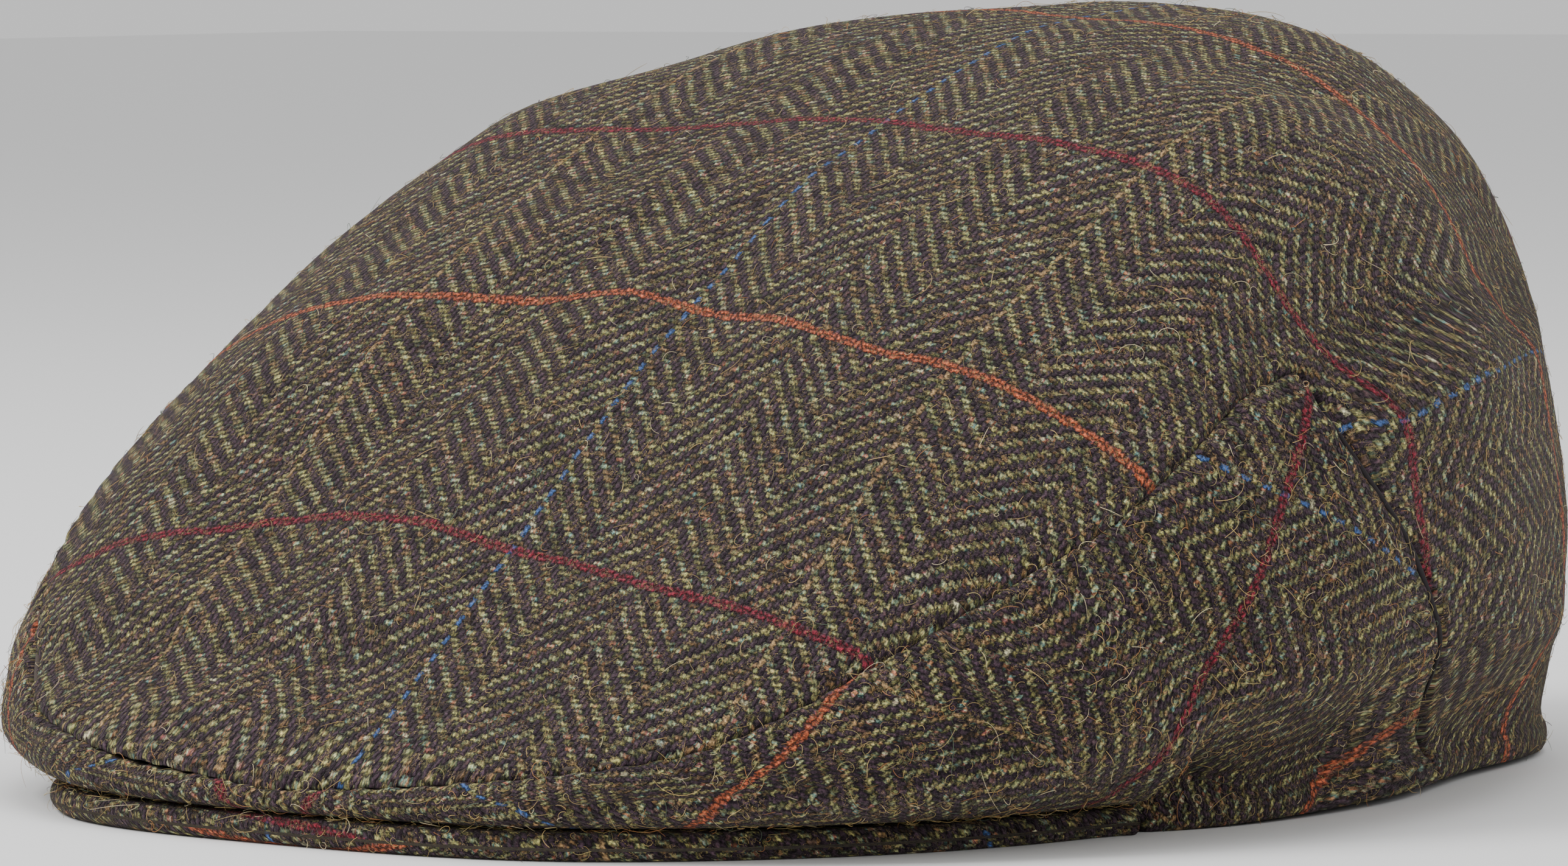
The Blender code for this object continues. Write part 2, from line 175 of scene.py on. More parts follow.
# Cloth, in millimetres: pitch of the yarns and counts of yarns
WARP_PITCH = 0.973
WEFT_PITCH = 0.925
COLUMN_ENDS = 14
WARP_CELL = 56
WEFT_CELL = 54
BLUE_X = 12.5
CHECK_LENGTH = 49.95  # millimetres from one crosswise line to the next
RED_Y = -88.0
SIDE_SLANT = 33.0
SECTION_ROOT = -0.040  # height of the line that the sections' rays start from, in metres
FRONT_FAN_Y = -0.088  # the sections fan out in front of this place, in metres
BACK_FAN_Y = 0.040  # and behind this one
FAN_RADIUS = 0.9 * CROWN_HEIGHT


def columns(table):
    rows = np.array(table[1:], float)
    return dict(zip(table[0], rows.T))


SECTION = columns(SECTIONS)
TUCK = columns(TUCKS)
CREST_LINE = columns(CREST)
FRONT_LINE = columns(FRONT_SEAM)
REAR_LINE = columns(REAR_SEAM)


def spline(knots, values, at):
    slopes = np.gradient(values, knots)
    i = np.clip(np.searchsorted(knots, at, side="right") - 1, 0, len(knots) - 2)
    step = knots[i + 1] - knots[i]
    t = (at - knots[i]) / step
    start = (1 + 2 * t) * (1 - t) ** 2 * values[i] + t * (1 - t) ** 2 * step * slopes[i]
    end = t * t * (3 - 2 * t) * values[i + 1] + t * t * (t - 1) * step * slopes[i + 1]
    return start + end


def around(column, name, turn, odd=False):
    sign = -1 if odd else 1
    knots, values = column["turn"], column[name]
    all_knots = np.concatenate([-knots[:0:-1], knots, 360 - knots[-2::-1]])
    all_values = np.concatenate([sign * values[:0:-1], values, sign * values[-2::-1]])
    return spline(all_knots, all_values, np.abs(turn))


def smooth_step(t):
    t = np.clip(t, 0, 1)
    return t * t * (3 - 2 * t)


def unit(vectors):
    return vectors / np.maximum(np.linalg.norm(vectors, axis=-1, keepdims=True), 1e-12)


def run_lengths(line):
    """Length along a line of points to each of them."""
    return np.concatenate([[0], np.cumsum(np.linalg.norm(np.diff(line, axis=0), axis=1))])


def belt_at(turn):
    """Where the belt lies at a turn to the left: x, y and z."""
    return (HALF_WIDTH * around(SECTION, "out", turn, odd=True),
            HALF_LENGTH * around(SECTION, "along", turn), CROWN_HEIGHT * around(SECTION, "up", turn))


def plain_surface(turn, level, inset=0.0):
    """Points of the cap's outer face, or of its inner face where inset is the cloth's thickness."""
    turn, level = np.broadcast_arrays(np.asarray(turn, float), np.asarray(level, float))
    side = np.where(turn < 0, -1.0, 1.0)
    angle = np.radians(np.abs(turn))
    heading_x, heading_y = side * np.sin(angle), -np.cos(angle)
    belt_x, belt_y, belt_z = belt_at(turn)
    belt_x = side * belt_x
    tuck = RIM_TUCK * around(TUCK, "tuck", turn)
    seated = 1 - smooth_step((np.abs(turn) - PINCH_TURN) / PINCH_SPAN)
    loose = 1 - seated
    rim_in = tuck + loose * inset
    rim_x, rim_y = belt_x - rim_in * heading_x, belt_y - rim_in * heading_y
    belt_x, belt_y = belt_x - inset * heading_x, belt_y - inset * heading_y
    reach = np.sin(np.clip(level / BELT_LEVEL, 0, 1) * math.pi / 2)
    x, y = reach * belt_x, FAN_Y + reach * (belt_y - FAN_Y)
    crest = CROWN_HEIGHT * spline(CREST_LINE["along"], CREST_LINE["up"], y / HALF_LENGTH) - inset
    hollow = 1 - reach ** around(SECTION, "fullness", turn)
    rise = np.maximum(hollow, 0) ** (1 / around(SECTION, "shoulder", turn))
    z = belt_z + (crest - belt_z) * rise
    under = np.clip((level - BELT_LEVEL) / (HEM_LEVEL - BELT_LEVEL), 0, 1)
    swing = seated * (1 - np.cos(under * math.pi / 2)) + loose * smooth_step(under)
    drop = seated * np.sin(under * math.pi / 2) + loose * under
    lift = RIM_LIFT * around(TUCK, "lift", turn)
    hem_z = seated * (SEWN_HEIGHT + inset) + loose * (HEM_HEIGHT + lift)
    x, y = x + (rim_x - belt_x) * swing, y + (rim_y - belt_y) * swing
    z = z + (hem_z - belt_z) * drop
    turned = np.clip((level - HEM_LEVEL) / (1 - HEM_LEVEL), 0, 1)
    bulge = HEM_BULGE * loose * np.sin(turned * math.pi) ** 0.6 if inset == 0 else 0
    shift = bulge - seated * SEWN_EDGE * turned
    x, y = x + shift * heading_x, y + shift * heading_y
    z = z - loose * HEM_HEIGHT * turned
    return np.stack([x, y, z], -1)


def relief(points):
    """How far the dents and folds draw each point in."""
    total = np.zeros(points.shape[:-1])
    size = np.array([HALF_WIDTH, HALF_LENGTH, CROWN_HEIGHT])
    mirror = np.array([-1, 1, 1])
    for row in FOLDS[1:]:
        fold = dict(zip(FOLDS[0], row))
        a = np.array([fold["out_a"], fold["along_a"], fold["up_a"]]) * size
        b = np.array([fold["out_b"], fold["along_b"], fold["up_b"]]) * size
        ends = [(a, b), (a * mirror, b * mirror)] if fold["both"] else [(a, b)]
        for start, end in ends:
            run = end - start
            t = np.clip((points - start) @ run / (run @ run), 0, 1)
            away = np.linalg.norm(points - start - t[..., None] * run, axis=-1)
            width = fold["width"] * CROWN_HEIGHT
            total = total + fold["depth"] * CLOTH * np.exp(-(away / width) ** 2)
    free = smooth_step((points[..., 2] - SEWN_HEIGHT) / HEM_HEIGHT)
    return total * free


def outward(points):
    core = points * np.array([0.25, 0.55, 0.0]) + np.array([0, 0, 0.2 * CROWN_HEIGHT])
    return unit(points - core)


def surfaces(turn, level):
    outer = plain_surface(turn, level)
    inner = plain_surface(turn, level, CLOTH)
    moved = relief(outer)[..., None] * outward(outer)
    return outer - moved, inner - moved


def level_at_height(turn, height):
    low, high = np.full(np.shape(turn), 0.40), np.ones(np.shape(turn))
    for _ in range(40):
        middle = (low + high) / 2
        above = plain_surface(turn, middle)[..., 2] > height
        low, high = np.where(above, middle, low), np.where(above, high, middle)
    return (low + high) / 2


def front_seam_level(turn):
    return level_at_height(turn, CROWN_HEIGHT * spline(FRONT_LINE["turn"], FRONT_LINE["up"], turn))


def rear_seam_turn(level):
    turn = np.full(np.shape(level), (APEX_TURN + REAR_TURN) / 2)
    for _ in range(30):
        up = plain_surface(turn, level)[..., 2] / CROWN_HEIGHT
        turn = (turn + spline(REAR_LINE["up"], REAR_LINE["turn"], np.clip(up, 0, APEX_UP))) / 2
    return turn


def side_grid():
    """Turns and levels of the left side panel: rows from the rim up, columns from the front back."""
    pinch, past = PINCH_TURN / REAR_TURN, (PINCH_TURN + PINCH_SPAN) / REAR_TURN
    along = np.concatenate([np.linspace(0, pinch, FRONT_COLUMNS),
                            np.linspace(pinch, past, PINCH_COLUMNS)[1:-1],
                            np.linspace(past, 1, TEMPLE_COLUMNS)])
    hem = list(np.linspace(1.0, HEM_LEVEL, HEM_ROWS + 1))[:-1]
    under = list(np.linspace(HEM_LEVEL, BELT_LEVEL, UNDER_ROWS + 1))
    top = front_seam_level(along * APEX_TURN)
    levels = [np.full(len(along), value) for value in hem + under]
    for k in range(1, SIDE_RISES + 1):
        levels.append(BELT_LEVEL + (top - BELT_LEVEL) * k / SIDE_RISES)
    levels = np.array(levels)
    ends = rear_seam_turn(levels[:, -1])
    ends[0], ends[-1] = REAR_TURN, APEX_TURN
    return ends[:, None] * along[None, :], levels


# Cloth coordinates: sections across the cap, and the length along each from the centre line

def body_limit(points):
    """Positive inside the cap's plain body, negative outside it."""
    x, y, z = points[..., 0], points[..., 1], points[..., 2]
    turn = np.degrees(np.arctan2(np.abs(x), FAN_Y - y))
    belt_x, belt_y, belt_z = belt_at(turn)
    radius = np.hypot(belt_x, belt_y - FAN_Y)
    reach = np.hypot(x, y - FAN_Y) / radius
    low = smooth_step((belt_z - z) / belt_z)
    limit = 1 - low * RIM_TUCK * around(TUCK, "tuck", turn) / radius
    crest = CROWN_HEIGHT * spline(CREST_LINE["along"], CREST_LINE["up"], y / HALF_LENGTH)
    hollow = 1 - np.clip(reach, 0, 1) ** around(SECTION, "fullness", turn)
    rise = np.maximum(hollow, 0) ** (1 / around(SECTION, "shoulder", turn))
    top = belt_z + (crest - belt_z) * rise
    return np.minimum(limit - reach, (top - z) / CROWN_HEIGHT)


SECTION_COUNT = 150
SECTIONS_AHEAD = 0.075  # how far the sections go on before and behind the two fans, in metres
SECTIONS_BEHIND = 0.13
RAY_COUNT = 110
MOST_RAY = math.radians(88)
RAY_REACH = (0.042, 0.30)  # the surface lies between these lengths of a ray, in metres


def section_table():
    """The sections' places, which fan out at the front and back, and lengths across and along."""
    lays = np.linspace(FRONT_FAN_Y - SECTIONS_AHEAD, BACK_FAN_Y + SECTIONS_BEHIND, SECTION_COUNT)
    rays = np.linspace(0, MOST_RAY, RAY_COUNT)
    root = np.clip(lays, FRONT_FAN_Y, BACK_FAN_Y)[:, None]
    lean = (lays[:, None] - root) / FAN_RADIUS
    up = np.stack([0 * lean + 0 * rays, np.sin(lean) + 0 * rays, np.cos(lean) + 0 * rays], -1)
    away = up * np.cos(rays)[None, :, None] + np.array([1.0, 0, 0]) * np.sin(rays)[None, :, None]
    start = np.stack([0 * lean + 0 * rays, root + 0 * rays, SECTION_ROOT + 0 * lean + 0 * rays], -1)
    low, high = (np.full(away.shape[:2], value) for value in RAY_REACH)
    for _ in range(26):
        middle = (low + high) / 2
        within = body_limit(start + away * middle[..., None]) > 0
        low, high = np.where(within, middle, low), np.where(within, high, middle)
    points = start + away * low[..., None]
    across = np.linalg.norm(np.diff(points, axis=1), axis=2)
    across = np.concatenate([np.zeros((SECTION_COUNT, 1)), np.cumsum(across, axis=1)], axis=1)
    return lays, across, run_lengths(points[:, 0])


LAYS, ACROSS, ALONG = section_table()

# Easing of the top's cloth, in millimetres where nothing else is said
FRONT_SLACK = -38  # the cloth is eased in front of this place
FRONT_EASE = 0.6  # share of the length that is left there
WALL_TURNS = (93.5, 100, 112, 131)  # places on the wall behind a rear seam, in degrees
WALL_BLUE_Z = (57, 59, 62, 63.5)  # height at which a blue yarn runs along the wall there
WALL_BLUE_U = 109  # that yarn's place across the cloth
WALL_EASE = 0.65  # share of the wall that counts as length of the cloth
WALL_DROP = 1.1  # and of its height
WALL_OVER = 16  # the yarns begin to run level this far above the blue one
WALL_FADE = 18  # and do so this much lower
WALL_FRONT = (80, 12)  # turn at which the level yarns begin, and the turn they take to do so
WALL_BACK = (165, 30)  # and where they have ended


def belt_length(turn, last=180, count=721):
    """Length round the belt from the centre front to a turn."""
    turns = np.linspace(0, last, count)
    return np.interp(turn, turns, run_lengths(plain_surface(turns, BELT_LEVEL)))


def top_cloth(points):
    """Cloth coordinates of the top, in millimetres from the blue and the first red yarn."""
    x, y, z = points[:, 0], points[:, 1], points[:, 2]
    root = np.clip(y, FRONT_FAN_Y, BACK_FAN_Y)
    rise = z - SECTION_ROOT
    lean = np.arctan2(y - root, rise)
    lay = root + lean * FAN_RADIUS
    ray = np.arctan2(np.abs(x), np.hypot(y - root, rise))
    f = np.clip(np.interp(lay, LAYS, np.arange(SECTION_COUNT)), 0, SECTION_COUNT - 1.001)
    g = np.clip(ray / MOST_RAY * (RAY_COUNT - 1), 0, RAY_COUNT - 1.001)
    i, j = f.astype(int), g.astype(int)
    s, t = f - i, g - j
    u = ((1 - s) * (1 - t) * ACROSS[i, j] + s * (1 - t) * ACROSS[i + 1, j]
         + (1 - s) * t * ACROSS[i, j + 1] + s * t * ACROSS[i + 1, j + 1])
    along = np.interp(lay, LAYS, ALONG) - np.interp(RED_Y * MM, LAYS, ALONG)
    u = np.sign(x) * u
    u, along = u / MM - BLUE_X, along / MM
    v = along - weft_bow(u, along)
    v = np.where(v < FRONT_SLACK, FRONT_SLACK + (v - FRONT_SLACK) * FRONT_EASE, v)

    # On the wall behind the rear seams the lengthwise yarns run level
    turn = np.degrees(np.arctan2(np.abs(x), FAN_Y - y))
    level_z = np.interp(turn, WALL_TURNS, WALL_BLUE_Z)
    wall_u = WALL_BLUE_U + BLUE_X + WALL_DROP * (level_z - z / MM)
    wall_u = np.where(x < 0, -1.0, 1.0) * wall_u - BLUE_X
    wall_v = 2 * CHECK_LENGTH + WALL_EASE * (belt_length(turn) - belt_length(WALL_TURNS[0])) / MM
    wall = (smooth_step((level_z + WALL_OVER - z / MM) / WALL_FADE)
            * smooth_step((WALL_BACK[0] - turn) / WALL_BACK[1])
            * smooth_step((turn - WALL_FRONT[0]) / WALL_FRONT[1]))
    u, v = u + (wall_u - u) * wall, v + (wall_v - v) * wall
    return np.stack([u, v, np.zeros(len(u))], -1)


# How far the crosswise yarns bow back (or forward, minus) at each distance from the blue yarn, for
# four of them that lie a check apart, in millimetres
WEFT_BOW = (
    ("across", "first", "second", "third", "fourth"),
    (-100, -1.3, -1.3, -2.3, -0.3),
    (-70, -1.7, -2.7, -4.7, -0.7),
    (-45, 1.2, -3.3, -6.8, -1.8),
    (-15, -1.1, -2.1, -2.5, -2.5),
    (0, -3.7, -3.2, -2.9, -4.7),
    (20, -6.0, -6.5, -6.2, -5.5),
    (40, -8.4, -10.2, -8.0, -6.5),
    (57, -8.8, -9.6, -8.4, -7.5),
    (75, -6.7, -7.7, -12.0, -7.5),
    (95, -4.6, -3.6, -17.0, -7.0),
    (115, -3.0, -1.0, -12.0, -3.0),
    (140, -3.0, 0.0, -4.0, 2.0),
)


def weft_bow(u, along):
    table = columns(WEFT_BOW)
    across = table["across"]
    within = np.clip(u, across[0], across[-1])
    lines = np.array([spline(across, table[name], within) for name in WEFT_BOW[0][1:]])
    place = np.clip(along / CHECK_LENGTH, 0, len(lines) - 1.001)
    low = place.astype(int)
    share = smooth_step(place - low)
    picks = np.arange(len(u))
    return lines[low, picks] * (1 - share) + lines[low + 1, picks] * share


# The side panels' cloth: where its blue and red yarns cross, and how it is eased
CROSS_TURN = 78.4
CROSS_HEIGHT = 0.048
SIDE_TURNS = (125, 500)  # last turn and number of steps in which the belt is measured for it
EASE_UNDER = 0.5  # share of the turning in that counts as length of the cloth
EASE_FROM = 0.025  # it begins to be eased this far behind the crossing, in metres
EASE_BACK = 0.52  # share of the length lost there at the belt
EASE_HEM = 0.76  # and at the hem


def side_cloth(turn, level):
    """Cloth coordinates of a side panel's grid: the yarns run aslant to the rim."""
    p, p0 = belt_length(turn, *SIDE_TURNS), belt_length(CROSS_TURN, *SIDE_TURNS)
    points = plain_surface(turn, level)
    # The cloth is eased where it turns in under the belt, and again towards the back of the hem
    climb = np.diff(points, axis=0)
    tucked = level[1:] > BELT_LEVEL
    inward = np.hypot(climb[..., 0], climb[..., 1]) * np.where(tucked, EASE_UNDER, 1.0)
    q = np.cumsum(np.hypot(climb[..., 2], inward), axis=0)
    q = np.concatenate([np.zeros((1, turn.shape[1])), q])
    column = np.argmin(np.abs(turn[-10] - CROSS_TURN))
    row = np.argmin(np.abs(points[:, column, 2] - CROSS_HEIGHT))
    q0 = q[row, column]
    a = math.radians(SIDE_SLANT)
    low = smooth_step((level - BELT_LEVEL) / (HEM_LEVEL - BELT_LEVEL))
    beyond = np.maximum(p - p0 - EASE_FROM, 0)
    p = p - beyond * (EASE_BACK + (EASE_HEM - EASE_BACK) * low)
    v = (p - p0) * math.cos(a) - (q - q0) * math.sin(a)
    u = (p - p0) * math.sin(a) + (q - q0) * math.cos(a)
    return np.stack([u / MM, v / MM, np.ones(u.shape)], -1)


# Meshes

def near_line(points, line):
    """Distance of each point from a polyline, and the length along the line to the nearest place."""
    lengths = run_lengths(line)
    best = np.full(len(points), 1.0)
    where = np.zeros(len(points))
    for k in range(len(line) - 1):
        a, run = line[k], line[k + 1] - line[k]
        size = run @ run
        if size < 1e-14:
            continue
        t = np.clip((points - a) @ run / size, 0, 1)
        away = np.linalg.norm(points - a - t[:, None] * run, axis=1)
        closer = away < best
        best = np.where(closer, away, best)
        where = np.where(closer, lengths[k] + t * math.sqrt(size), where)
    return best, where


def waves(points, length, seed, count=7):
    """Smooth random waves between -1 and 1, of about the given length."""
    local = np.random.default_rng(seed)
    total = np.zeros(len(points))
    for _ in range(count):
        direction = local.normal(size=3)
        direction /= np.linalg.norm(direction)
        rate = 2 * math.pi / (length * local.uniform(0.7, 1.4))
        total += np.sin(points @ direction * rate + local.uniform(0, 2 * math.pi))
    return total / math.sqrt(count)


def seam_relief(points, seam, shift):
    """How far the cloth is drawn in beside a seam: a turned edge, and small puckers along it."""
    away, along = near_line(points, seam)
    behind = smooth_step((along - SIDE_SEAM_LENGTH) / REAR_SEAM_FADE)
    dip = SEAM_DIP + (REAR_SEAM_DIP - SEAM_DIP) * behind
    roll = dip * np.clip(1 - away / SEAM_ROLL, 0, 1) ** 2
    stray = PUCKER_STRAY * np.sin(along / PUCKER_DRIFT)
    wave = np.sin(2 * math.pi * along / PUCKER_LENGTH + shift + stray)
    pucker = PUCKER * wave * np.exp(-(away / PUCKER_REACH) ** 2)
    swell = -SWELL * np.exp(-((away - SWELL_AWAY) / SWELL_WIDTH) ** 2)
    return roll + pucker + swell


def placed(name, mesh):
    piece = bpy.data.objects.new(name, mesh)
    bpy.context.scene.collection.objects.link(piece)
    return piece


def cloth_piece(name, points, faces, cloth):
    """A closed piece of cloth, with the cloth coordinates of its points."""
    mesh = bpy.data.meshes.new(name)
    mesh.from_pydata(points.tolist(), [], faces)
    form = bmesh.new()
    form.from_mesh(mesh)
    bmesh.ops.recalc_face_normals(form, faces=form.faces)
    form.to_mesh(mesh)
    form.free()
    mesh.shade_smooth()
    data = mesh.attributes.new("cloth", "FLOAT_VECTOR", "POINT")
    data.data.foreach_set("vector", cloth.astype(np.float32).ravel())
    return placed(name, mesh)


def shell(name, outer, inner, faces, border, cloth):
    """A piece from the cloth's outer and inner faces, joined along its border."""
    count = len(outer)
    inside = [tuple(i + count for i in reversed(face)) for face in faces]
    rim = border.tolist()
    walls = [(a, a + count, b + count, b) for a, b in zip(rim, rim[1:] + rim[:1])]
    points = np.vstack([outer, inner])
    return cloth_piece(name, points, faces + inside + walls, np.vstack([cloth, cloth]))


def grid_faces(at):
    a, b, c, d = at[:-1, :-1], at[:-1, 1:], at[1:, 1:], at[1:, :-1]
    return [tuple(face) for face in np.stack([a, b, c, d], -1).reshape(-1, 4).tolist()]


def normals_of(grid, wrap=False):
    """Unit normals of a grid of points, pointing out of the cap."""
    du = np.gradient(grid, axis=1) if not wrap else np.roll(grid, -1, 1) - np.roll(grid, 1, 1)
    dv = np.gradient(grid, axis=0)
    normal = unit(np.cross(du, dv))
    flip = np.sign((normal * outward(grid)).sum(-1, keepdims=True))
    return normal * np.where(flip == 0, 1, flip)


def seam_lines():
    """The seams of the left side panel as lines in space: along its top, and behind it."""
    turn, level = side_grid()
    outer, _ = surfaces(turn, level)
    return outer[-1], outer[:, -1]


FRONT_PATH, REAR_PATH = seam_lines()
SEAM_PATH = np.vstack([FRONT_PATH[::3], REAR_PATH[::-1][::2]])
SEAM_STEPS = np.linalg.norm(np.diff(SEAM_PATH, axis=0), axis=1)
SEAM_PATH = SEAM_PATH[np.concatenate([[True], SEAM_STEPS > 1e-6])]
SIDE_SEAM_LENGTH = np.linalg.norm(np.diff(FRONT_PATH, axis=0), axis=1).sum()


def dress(grid, seams, seed, wrap=False):
    """How far the seams and small folds move each point of a grid of the outer face."""
    normal = normals_of(grid, wrap)
    flat = grid.reshape(-1, 3)
    drawn = np.zeros(len(flat))
    for k, seam in enumerate(seams):
        drawn += seam_relief(flat, seam, 1.7 * k + seed)
    free = smooth_step((flat[:, 2] - SEWN_HEIGHT) / HEM_HEIGHT)
    drawn *= SEWN_SHARE + (1 - SEWN_SHARE) * free
    soft = sum(height * waves(flat, length, seed + k)
               for k, (height, length) in enumerate(SOFT_WAVES))
    drawn += soft * free
    return -drawn.reshape(grid.shape[:-1])[..., None] * normal


def side_panel(name, side):
    turn, level = side_grid()
    outer, inner = surfaces(turn, level)
    move = dress(outer, [SEAM_PATH], 3 if side > 0 else 5)
    outer, inner = outer + move, inner + move * INNER_SHARE
    cloth = side_cloth(turn, level)
    mirror = np.array([side, 1, 1])
    rows, cols = turn.shape
    at = np.arange(rows * cols).reshape(rows, cols)
    border = np.concatenate([at[0, :], at[1:, -1], at[-1, -2::-1], at[-2:0:-1, 0]])
    return shell(name, outer.reshape(-1, 3) * mirror, inner.reshape(-1, 3) * mirror, grid_faces(at),
                 border, cloth.reshape(-1, 3))


def crown_top(name):
    turn, level = side_grid()
    front = np.stack([turn[-1], level[-1], turn[-1]], -1)
    rear_turn, rear_level = turn[-2::-1, -1], level[-2::-1, -1]
    even = np.linspace(APEX_TURN, REAR_TURN, len(rear_turn) + 1)[1:]
    rear = np.stack([rear_turn, rear_level, even], -1)
    back_turn = np.linspace(REAR_TURN, 180, BACK_COLUMNS + 1)[1:]
    back = np.stack([back_turn, np.ones(BACK_COLUMNS), back_turn], -1)
    keep = np.ones(len(front), bool)
    keep[1:-1] = np.arange(1, len(front) - 1) % 2 == 0
    left = np.vstack([front[keep], rear, back])
    right = left[-2:0:-1] * np.array([-1, 1, -1])
    border = np.vstack([left, right])
    under = np.linspace(BELT_LEVEL, HEM_LEVEL, UNDER_ROWS + 1)[1:]
    dome = np.linspace(0, BELT_LEVEL, DOME_RINGS + 1)[1:]
    hem = np.linspace(HEM_LEVEL, 1, HEM_ROWS + 1)[1:]
    rings = np.concatenate([dome, under, hem])
    cols = len(border)
    turns = border[:, 2] + (border[:, 0] - border[:, 2]) * (rings ** 2)[:, None]
    levels = border[:, 1] * rings[:, None]
    outer, inner = surfaces(turns, levels)
    mirror = np.array([-1, 1, 1])
    move = dress(outer, [SEAM_PATH, SEAM_PATH * mirror], 8, wrap=True)
    outer, inner = outer + move, inner + move * INNER_SHARE
    centre_outer, centre_inner = outer[0].mean(0), inner[0].mean(0)
    flat_outer = np.vstack([centre_outer[None], outer.reshape(-1, 3)])
    flat_inner = np.vstack([centre_inner[None], inner.reshape(-1, 3)])
    at = 1 + np.arange(len(rings) * cols).reshape(len(rings), cols)
    closed = np.hstack([at, at[:, :1]])
    first = closed[0].tolist()
    fan = [(a, b, 0) for a, b in zip(first[:-1], first[1:])]
    faces = grid_faces(closed) + fan
    return shell(name, flat_outer, flat_inner, faces, at[-1], top_cloth(flat_outer))


# Along the peak's edge, in millimetres: where its two cloths meet above the underside's rim, and the
# places of the red yarn and of the orange yarn's lowest point to the left of the middle
PEAK_JOIN = 2.9
PEAK_RED_U = 7.1
PEAK_ORANGE_U = 5.1
PEAK_ORANGE_REACH = 14.0
PEAK_RED_V = 1.4  # how far in from the edge the red yarn lies,
PEAK_RED_RISE = 0.16  # and how fast it comes out, sideways
PEAK_ORANGE_BOW = 1.5
PEAK_BOW_MOST = 18
PEAK_SLANT = 15
BACK_ROUND = 0.6  # roundness of the edge at the opening, as a share of the front edge's


def peak_cloth(points):
    """Cloth coordinates of the peak's loops: two cloths, over and under it, meet at its edge."""
    u = run_lengths(points[0])
    u = (u - u[len(u) // 2]) / MM
    width = np.linalg.norm(np.diff(points, axis=0), axis=2)
    girth = np.concatenate([np.zeros((1, points.shape[1])), np.cumsum(width, axis=0)]) / MM
    u = u[None, :] + 0 * girth
    over = girth > PEAK_JOIN
    turned = girth - PEAK_JOIN
    red = turned - PEAK_RED_V + PEAK_RED_RISE * (u - PEAK_RED_U)
    bow = np.minimum(PEAK_ORANGE_BOW * ((u - PEAK_ORANGE_U) / PEAK_ORANGE_REACH) ** 2, PEAK_BOW_MOST)
    v = np.where(over, red, WEFT_CELL * WEFT_PITCH + turned + PEAK_JOIN - bow) + WEFT_PITCH
    slant = math.radians(PEAK_SLANT)
    return np.stack([u + turned * math.tan(slant), v, np.full(u.shape, 2.0)], -1)


def peak_piece(name):
    turn = np.linspace(-PEAK_TURN, PEAK_TURN, 2 * PEAK_COLUMNS + 1)
    sewn = plain_surface(turn, HEM_LEVEL)[:, :2]
    angle = np.radians(turn)
    heading = np.stack([np.sin(angle), -np.cos(angle)], -1)
    outline = sewn + PEAK_SEAT * heading
    tip = outline[-1] - PEAK_TIP_WIDTH * heading[-1]
    middle_y = outline[PEAK_COLUMNS, 1] + PEAK_DEPTH
    share = np.linspace(-1, 1, len(turn))
    opening = np.stack([tip[0] * share, middle_y + (tip[1] - middle_y) * share ** 2], -1)
    inward = opening - outline
    width = np.linalg.norm(inward, axis=1, keepdims=True)
    inward /= width
    radius = PEAK_THICKNESS / 2
    across = (1 + BACK_ROUND) * radius
    loops = []
    for a in np.linspace(-math.pi / 2, math.pi / 2, PEAK_ROUND):
        step, z = radius * (1 - math.cos(a)), radius * (1 + math.sin(a))
        loops.append(np.column_stack([outline + step * inward, np.full(len(turn), z)]))
    for share_in in np.linspace(0, 1, PEAK_ACROSS)[1:-1]:
        place = outline + inward * (radius + (width - across) * share_in)
        loops.append(np.column_stack([place, np.full(len(turn), PEAK_THICKNESS)]))
    for a in np.linspace(math.pi / 2, -math.pi / 2, PEAK_BACK):
        step, z = BACK_ROUND * radius * (1 - math.cos(a)), radius * (1 + math.sin(a))
        loops.append(np.column_stack([opening - step * inward, np.full(len(turn), z)]))
    for share_in in np.linspace(1, 0, PEAK_ACROSS)[1:-1]:
        place = outline + inward * (radius + (width - across) * share_in)
        loops.append(np.column_stack([place, np.zeros(len(turn))]))
    points = np.array(loops)
    rows, cols = points.shape[:2]
    at = np.arange(rows * cols).reshape(rows, cols)
    faces = grid_faces(np.vstack([at, at[:1]]))
    faces += [tuple(at[:, 0].tolist()), tuple(at[::-1, -1].tolist())]
    return cloth_piece(name, points.reshape(-1, 3), faces, peak_cloth(points).reshape(-1, 3))


# Loose fibres

FIBRE_COLOURS = (
    ("red", "green", "blue", "share"),
    (0.55, 0.38, 0.14, 0.34),
    (0.42, 0.33, 0.13, 0.20),
    (0.70, 0.58, 0.34, 0.10),
    (0.45, 0.20, 0.07, 0.14),
    (0.10, 0.14, 0.09, 0.12),
    (0.08, 0.04, 0.05, 0.10),
)
FIBRE_POINTS = 8
FIBRE_SIDES = 3
FIBRE_LENGTH = 0.0026  # the middle one, in metres as the next ones are
FIBRE_LENGTHS = (0.0012, 0.0075)
FIBRE_LIFT = 0.00035  # how far the middle one stands off the cloth
FIBRE_LIFTS = (0.0001, 0.0013)
FIBRE_ROOT = 0.00004  # how deep each begins in the cloth
FIBRE_RADII = (0.000028, 0.000052)
FIBRE_BEND = 2.4  # in radians over its length
FIBRE_TWIST = 1.6
FIBRE_OPEN = 0.35  # share of fibres with one end free
PEAK_FIBRES_Y = -0.1  # fibres of the peak lie in front of this place


